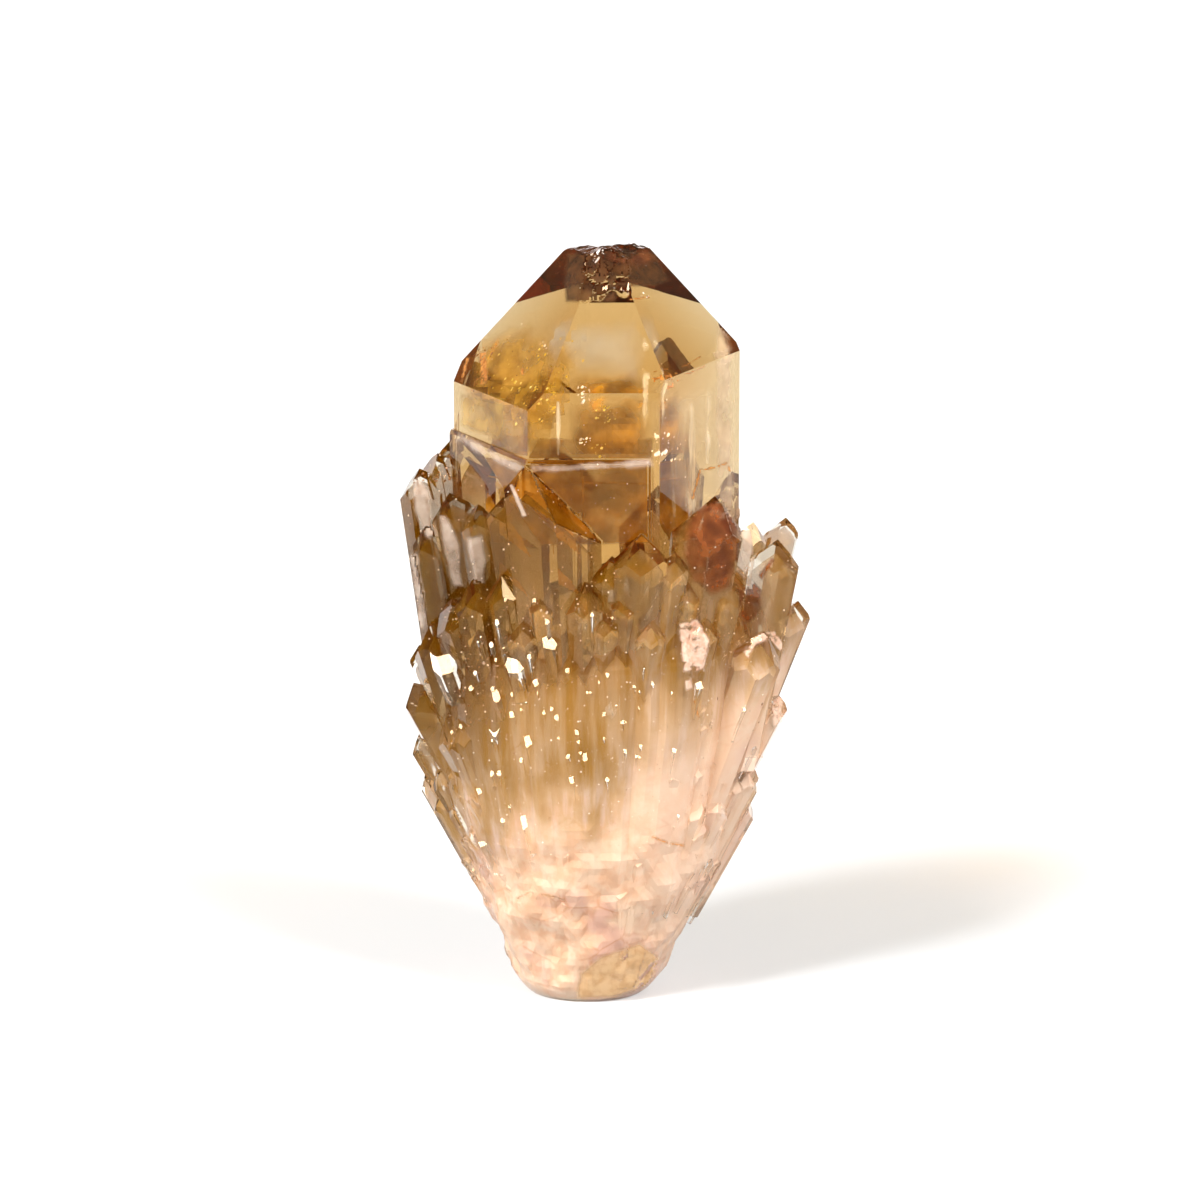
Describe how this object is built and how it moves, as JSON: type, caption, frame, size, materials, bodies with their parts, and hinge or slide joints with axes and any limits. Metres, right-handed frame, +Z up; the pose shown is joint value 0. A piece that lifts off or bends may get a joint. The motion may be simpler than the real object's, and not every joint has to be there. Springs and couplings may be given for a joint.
{
  "type": "citrine specimen",
  "caption": "Natural citrine crystal cluster: one large broken-tipped point rising out of a fan of smaller points on a narrow milky root with a flat foot.",
  "frame": {"origin": "centre of the flat foot that the specimen stands on", "axes": "+Z up along the large crystal, -Y towards the side that is shown"},
  "size_m": [0.0328, 0.0273, 0.0614],
  "materials": {
    "citrine": "natural crystal faces, glossy, clear honey brown above and milky peach at the root"
  },
  "bodies": {
    "root": {"citrine_cluster": "citrine"}
  },
  "joints": []
}
